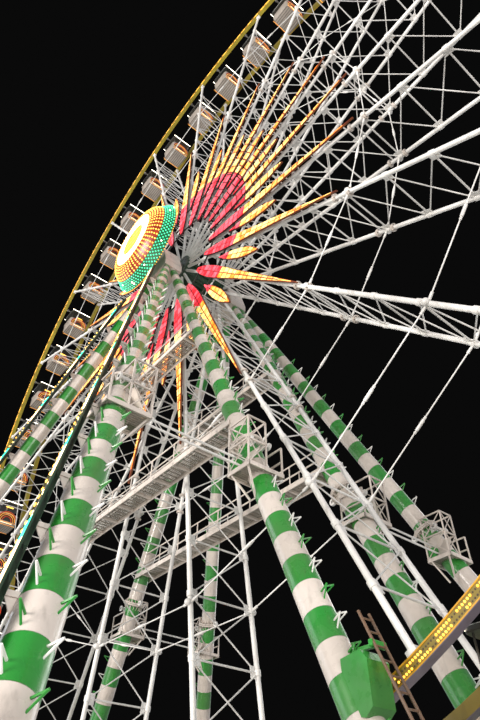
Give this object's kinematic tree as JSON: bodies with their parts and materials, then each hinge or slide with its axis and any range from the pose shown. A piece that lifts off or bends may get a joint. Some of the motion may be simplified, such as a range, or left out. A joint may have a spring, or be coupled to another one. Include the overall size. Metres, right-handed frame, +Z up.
{
  "type": "ferris wheel, 1:2 scale model of a 60 m wheel",
  "caption": "Half-size model of a fairground wheel: two rims on radial spokes between eight banded tubular legs, with round open cabins that stay level as it turns.",
  "frame": {"origin": "on the ground under the middle of the hub", "axes": "+Z up, the wheel turns about Y, the emblem faces -Y, +X to the right seen from the front"},
  "size_m": [27.83, 12.1732, 29.9905],
  "materials": {
    "banded_steel": "painted in green and cream bands, satin",
    "green_steel": "painted mid green, satin",
    "dark_green_steel": "painted dark green, satin",
    "cream_steel": "painted cream, satin",
    "white_steel": "painted white, satin",
    "yellow_steel": "painted yellow, satin",
    "lit_rays": "red and yellow lamp boards, glossy",
    "emblem": "orange, white and green lamp drum, glossy",
    "light_boards": "turquoise and orange lamp boards, glossy",
    "cabin_shell": "grey-white ribbed shell, satin"
  },
  "bodies": {
    "frame": {"base_frame": "green_steel", "front_inner_legs": "banded_steel", "back_inner_legs": "banded_steel", "front_outer_leg_left": "banded_steel", "front_outer_leg_right": "banded_steel", "back_outer_leg_left": "banded_steel", "back_outer_leg_right": "banded_steel", "front_bearing_head": "cream_steel", "back_bearing_head": "cream_steel", "front_light_board_left": "light_boards", "front_light_board_right": "light_boards", "hub_emblem": "emblem"},
    "wheel": {"hub_drum": "dark_green_steel", "front_spokes": "white_steel", "back_spokes": "white_steel", "front_rim": "yellow_steel", "back_rim": "yellow_steel", "sunburst": "lit_rays"},
    "cabin_01": {"cabin_01": "cabin_shell"},
    "cabin_02": {"cabin_02": "cabin_shell"},
    "cabin_03": {"cabin_03": "cabin_shell"},
    "cabin_04": {"cabin_04": "cabin_shell"},
    "cabin_05": {"cabin_05": "cabin_shell"},
    "cabin_06": {"cabin_06": "cabin_shell"},
    "cabin_07": {"cabin_07": "cabin_shell"},
    "cabin_08": {"cabin_08": "cabin_shell"},
    "cabin_09": {"cabin_09": "cabin_shell"},
    "cabin_10": {"cabin_10": "cabin_shell"},
    "cabin_11": {"cabin_11": "cabin_shell"},
    "cabin_12": {"cabin_12": "cabin_shell"},
    "cabin_13": {"cabin_13": "cabin_shell"},
    "cabin_14": {"cabin_14": "cabin_shell"},
    "cabin_15": {"cabin_15": "cabin_shell"},
    "cabin_16": {"cabin_16": "cabin_shell"},
    "cabin_17": {"cabin_17": "cabin_shell"},
    "cabin_18": {"cabin_18": "cabin_shell"},
    "cabin_19": {"cabin_19": "cabin_shell"},
    "cabin_20": {"cabin_20": "cabin_shell"},
    "cabin_21": {"cabin_21": "cabin_shell"},
    "cabin_22": {"cabin_22": "cabin_shell"},
    "cabin_23": {"cabin_23": "cabin_shell"},
    "cabin_24": {"cabin_24": "cabin_shell"},
    "cabin_25": {"cabin_25": "cabin_shell"},
    "cabin_26": {"cabin_26": "cabin_shell"},
    "cabin_27": {"cabin_27": "cabin_shell"},
    "cabin_28": {"cabin_28": "cabin_shell"},
    "cabin_29": {"cabin_29": "cabin_shell"},
    "cabin_30": {"cabin_30": "cabin_shell"},
    "cabin_31": {"cabin_31": "cabin_shell"},
    "cabin_32": {"cabin_32": "cabin_shell"},
    "cabin_33": {"cabin_33": "cabin_shell"},
    "cabin_34": {"cabin_34": "cabin_shell"},
    "cabin_35": {"cabin_35": "cabin_shell"},
    "cabin_36": {"cabin_36": "cabin_shell"},
    "cabin_37": {"cabin_37": "cabin_shell"},
    "cabin_38": {"cabin_38": "cabin_shell"},
    "cabin_39": {"cabin_39": "cabin_shell"},
    "cabin_40": {"cabin_40": "cabin_shell"},
    "cabin_41": {"cabin_41": "cabin_shell"},
    "cabin_42": {"cabin_42": "cabin_shell"}
  },
  "joints": [
    {"name": "wheel_spin", "type": "hinge", "parent": "frame", "child": "wheel", "pos_m": [0, 0, 16.45], "axis": [0, 1, 0], "continuous": true},
    {"name": "cabin_01_swing", "type": "hinge", "parent": "wheel", "child": "cabin_01", "pos_m": [1.00362, 0, 29.84245], "axis": [0, 1, 0], "continuous": true},
    {"name": "cabin_02_swing", "type": "hinge", "parent": "wheel", "child": "cabin_02", "pos_m": [2.98846, 0, 29.54328], "axis": [0, 1, 0], "continuous": true},
    {"name": "cabin_03_swing", "type": "hinge", "parent": "wheel", "child": "cabin_03", "pos_m": [4.90653, 0, 28.95163], "axis": [0, 1, 0], "continuous": true},
    {"name": "cabin_04_swing", "type": "hinge", "parent": "wheel", "child": "cabin_04", "pos_m": [6.715, 0, 28.08072], "axis": [0, 1, 0], "continuous": true},
    {"name": "cabin_05_swing", "type": "hinge", "parent": "wheel", "child": "cabin_05", "pos_m": [8.37347, 0, 26.95], "axis": [0, 1, 0], "continuous": true},
    {"name": "cabin_06_swing", "type": "hinge", "parent": "wheel", "child": "cabin_06", "pos_m": [9.84489, 0, 25.58472], "axis": [0, 1, 0], "continuous": true},
    {"name": "cabin_07_swing", "type": "hinge", "parent": "wheel", "child": "cabin_07", "pos_m": [11.09639, 0, 24.01539], "axis": [0, 1, 0], "continuous": true},
    {"name": "cabin_08_swing", "type": "hinge", "parent": "wheel", "child": "cabin_08", "pos_m": [12.10001, 0, 22.27706], "axis": [0, 1, 0], "continuous": true},
    {"name": "cabin_09_swing", "type": "hinge", "parent": "wheel", "child": "cabin_09", "pos_m": [12.83334, 0, 20.40856], "axis": [0, 1, 0], "continuous": true},
    {"name": "cabin_10_swing", "type": "hinge", "parent": "wheel", "child": "cabin_10", "pos_m": [13.28, 0, 18.45164], "axis": [0, 1, 0], "continuous": true},
    {"name": "cabin_11_swing", "type": "hinge", "parent": "wheel", "child": "cabin_11", "pos_m": [13.43, 0, 16.45], "axis": [0, 1, 0], "continuous": true},
    {"name": "cabin_12_swing", "type": "hinge", "parent": "wheel", "child": "cabin_12", "pos_m": [13.28, 0, 14.44836], "axis": [0, 1, 0], "continuous": true},
    {"name": "cabin_13_swing", "type": "hinge", "parent": "wheel", "child": "cabin_13", "pos_m": [12.83334, 0, 12.49144], "axis": [0, 1, 0], "continuous": true},
    {"name": "cabin_14_swing", "type": "hinge", "parent": "wheel", "child": "cabin_14", "pos_m": [12.10001, 0, 10.62294], "axis": [0, 1, 0], "continuous": true},
    {"name": "cabin_15_swing", "type": "hinge", "parent": "wheel", "child": "cabin_15", "pos_m": [11.09639, 0, 8.88461], "axis": [0, 1, 0], "continuous": true},
    {"name": "cabin_16_swing", "type": "hinge", "parent": "wheel", "child": "cabin_16", "pos_m": [9.84489, 0, 7.31528], "axis": [0, 1, 0], "continuous": true},
    {"name": "cabin_17_swing", "type": "hinge", "parent": "wheel", "child": "cabin_17", "pos_m": [8.37347, 0, 5.95], "axis": [0, 1, 0], "continuous": true},
    {"name": "cabin_18_swing", "type": "hinge", "parent": "wheel", "child": "cabin_18", "pos_m": [6.715, 0, 4.81928], "axis": [0, 1, 0], "continuous": true},
    {"name": "cabin_19_swing", "type": "hinge", "parent": "wheel", "child": "cabin_19", "pos_m": [4.90653, 0, 3.94837], "axis": [0, 1, 0], "continuous": true},
    {"name": "cabin_20_swing", "type": "hinge", "parent": "wheel", "child": "cabin_20", "pos_m": [2.98846, 0, 3.35672], "axis": [0, 1, 0], "continuous": true},
    {"name": "cabin_21_swing", "type": "hinge", "parent": "wheel", "child": "cabin_21", "pos_m": [1.00362, 0, 3.05755], "axis": [0, 1, 0], "continuous": true},
    {"name": "cabin_22_swing", "type": "hinge", "parent": "wheel", "child": "cabin_22", "pos_m": [-1.00362, 0, 3.05755], "axis": [0, 1, 0], "continuous": true},
    {"name": "cabin_23_swing", "type": "hinge", "parent": "wheel", "child": "cabin_23", "pos_m": [-2.98846, 0, 3.35672], "axis": [0, 1, 0], "continuous": true},
    {"name": "cabin_24_swing", "type": "hinge", "parent": "wheel", "child": "cabin_24", "pos_m": [-4.90653, 0, 3.94837], "axis": [0, 1, 0], "continuous": true},
    {"name": "cabin_25_swing", "type": "hinge", "parent": "wheel", "child": "cabin_25", "pos_m": [-6.715, 0, 4.81928], "axis": [0, 1, 0], "continuous": true},
    {"name": "cabin_26_swing", "type": "hinge", "parent": "wheel", "child": "cabin_26", "pos_m": [-8.37347, 0, 5.95], "axis": [0, 1, 0], "continuous": true},
    {"name": "cabin_27_swing", "type": "hinge", "parent": "wheel", "child": "cabin_27", "pos_m": [-9.84489, 0, 7.31528], "axis": [0, 1, 0], "continuous": true},
    {"name": "cabin_28_swing", "type": "hinge", "parent": "wheel", "child": "cabin_28", "pos_m": [-11.09639, 0, 8.88461], "axis": [0, 1, 0], "continuous": true},
    {"name": "cabin_29_swing", "type": "hinge", "parent": "wheel", "child": "cabin_29", "pos_m": [-12.10001, 0, 10.62294], "axis": [0, 1, 0], "continuous": true},
    {"name": "cabin_30_swing", "type": "hinge", "parent": "wheel", "child": "cabin_30", "pos_m": [-12.83334, 0, 12.49144], "axis": [0, 1, 0], "continuous": true},
    {"name": "cabin_31_swing", "type": "hinge", "parent": "wheel", "child": "cabin_31", "pos_m": [-13.28, 0, 14.44836], "axis": [0, 1, 0], "continuous": true},
    {"name": "cabin_32_swing", "type": "hinge", "parent": "wheel", "child": "cabin_32", "pos_m": [-13.43, 0, 16.45], "axis": [0, 1, 0], "continuous": true},
    {"name": "cabin_33_swing", "type": "hinge", "parent": "wheel", "child": "cabin_33", "pos_m": [-13.28, 0, 18.45164], "axis": [0, 1, 0], "continuous": true},
    {"name": "cabin_34_swing", "type": "hinge", "parent": "wheel", "child": "cabin_34", "pos_m": [-12.83334, 0, 20.40856], "axis": [0, 1, 0], "continuous": true},
    {"name": "cabin_35_swing", "type": "hinge", "parent": "wheel", "child": "cabin_35", "pos_m": [-12.10001, 0, 22.27706], "axis": [0, 1, 0], "continuous": true},
    {"name": "cabin_36_swing", "type": "hinge", "parent": "wheel", "child": "cabin_36", "pos_m": [-11.09639, 0, 24.01539], "axis": [0, 1, 0], "continuous": true},
    {"name": "cabin_37_swing", "type": "hinge", "parent": "wheel", "child": "cabin_37", "pos_m": [-9.84489, 0, 25.58472], "axis": [0, 1, 0], "continuous": true},
    {"name": "cabin_38_swing", "type": "hinge", "parent": "wheel", "child": "cabin_38", "pos_m": [-8.37347, 0, 26.95], "axis": [0, 1, 0], "continuous": true},
    {"name": "cabin_39_swing", "type": "hinge", "parent": "wheel", "child": "cabin_39", "pos_m": [-6.715, 0, 28.08072], "axis": [0, 1, 0], "continuous": true},
    {"name": "cabin_40_swing", "type": "hinge", "parent": "wheel", "child": "cabin_40", "pos_m": [-4.90653, 0, 28.95163], "axis": [0, 1, 0], "continuous": true},
    {"name": "cabin_41_swing", "type": "hinge", "parent": "wheel", "child": "cabin_41", "pos_m": [-2.98846, 0, 29.54328], "axis": [0, 1, 0], "continuous": true},
    {"name": "cabin_42_swing", "type": "hinge", "parent": "wheel", "child": "cabin_42", "pos_m": [-1.00362, 0, 29.84245], "axis": [0, 1, 0], "continuous": true}
  ],
  "couplings": [
    {"joint": "cabin_01_swing", "follows": "wheel_spin", "ratio": -1},
    {"joint": "cabin_02_swing", "follows": "wheel_spin", "ratio": -1},
    {"joint": "cabin_03_swing", "follows": "wheel_spin", "ratio": -1},
    {"joint": "cabin_04_swing", "follows": "wheel_spin", "ratio": -1},
    {"joint": "cabin_05_swing", "follows": "wheel_spin", "ratio": -1},
    {"joint": "cabin_06_swing", "follows": "wheel_spin", "ratio": -1},
    {"joint": "cabin_07_swing", "follows": "wheel_spin", "ratio": -1},
    {"joint": "cabin_08_swing", "follows": "wheel_spin", "ratio": -1},
    {"joint": "cabin_09_swing", "follows": "wheel_spin", "ratio": -1},
    {"joint": "cabin_10_swing", "follows": "wheel_spin", "ratio": -1},
    {"joint": "cabin_11_swing", "follows": "wheel_spin", "ratio": -1},
    {"joint": "cabin_12_swing", "follows": "wheel_spin", "ratio": -1},
    {"joint": "cabin_13_swing", "follows": "wheel_spin", "ratio": -1},
    {"joint": "cabin_14_swing", "follows": "wheel_spin", "ratio": -1},
    {"joint": "cabin_15_swing", "follows": "wheel_spin", "ratio": -1},
    {"joint": "cabin_16_swing", "follows": "wheel_spin", "ratio": -1},
    {"joint": "cabin_17_swing", "follows": "wheel_spin", "ratio": -1},
    {"joint": "cabin_18_swing", "follows": "wheel_spin", "ratio": -1},
    {"joint": "cabin_19_swing", "follows": "wheel_spin", "ratio": -1},
    {"joint": "cabin_20_swing", "follows": "wheel_spin", "ratio": -1},
    {"joint": "cabin_21_swing", "follows": "wheel_spin", "ratio": -1},
    {"joint": "cabin_22_swing", "follows": "wheel_spin", "ratio": -1},
    {"joint": "cabin_23_swing", "follows": "wheel_spin", "ratio": -1},
    {"joint": "cabin_24_swing", "follows": "wheel_spin", "ratio": -1},
    {"joint": "cabin_25_swing", "follows": "wheel_spin", "ratio": -1},
    {"joint": "cabin_26_swing", "follows": "wheel_spin", "ratio": -1},
    {"joint": "cabin_27_swing", "follows": "wheel_spin", "ratio": -1},
    {"joint": "cabin_28_swing", "follows": "wheel_spin", "ratio": -1},
    {"joint": "cabin_29_swing", "follows": "wheel_spin", "ratio": -1},
    {"joint": "cabin_30_swing", "follows": "wheel_spin", "ratio": -1},
    {"joint": "cabin_31_swing", "follows": "wheel_spin", "ratio": -1},
    {"joint": "cabin_32_swing", "follows": "wheel_spin", "ratio": -1},
    {"joint": "cabin_33_swing", "follows": "wheel_spin", "ratio": -1},
    {"joint": "cabin_34_swing", "follows": "wheel_spin", "ratio": -1},
    {"joint": "cabin_35_swing", "follows": "wheel_spin", "ratio": -1},
    {"joint": "cabin_36_swing", "follows": "wheel_spin", "ratio": -1},
    {"joint": "cabin_37_swing", "follows": "wheel_spin", "ratio": -1},
    {"joint": "cabin_38_swing", "follows": "wheel_spin", "ratio": -1},
    {"joint": "cabin_39_swing", "follows": "wheel_spin", "ratio": -1},
    {"joint": "cabin_40_swing", "follows": "wheel_spin", "ratio": -1},
    {"joint": "cabin_41_swing", "follows": "wheel_spin", "ratio": -1},
    {"joint": "cabin_42_swing", "follows": "wheel_spin", "ratio": -1}
  ]
}
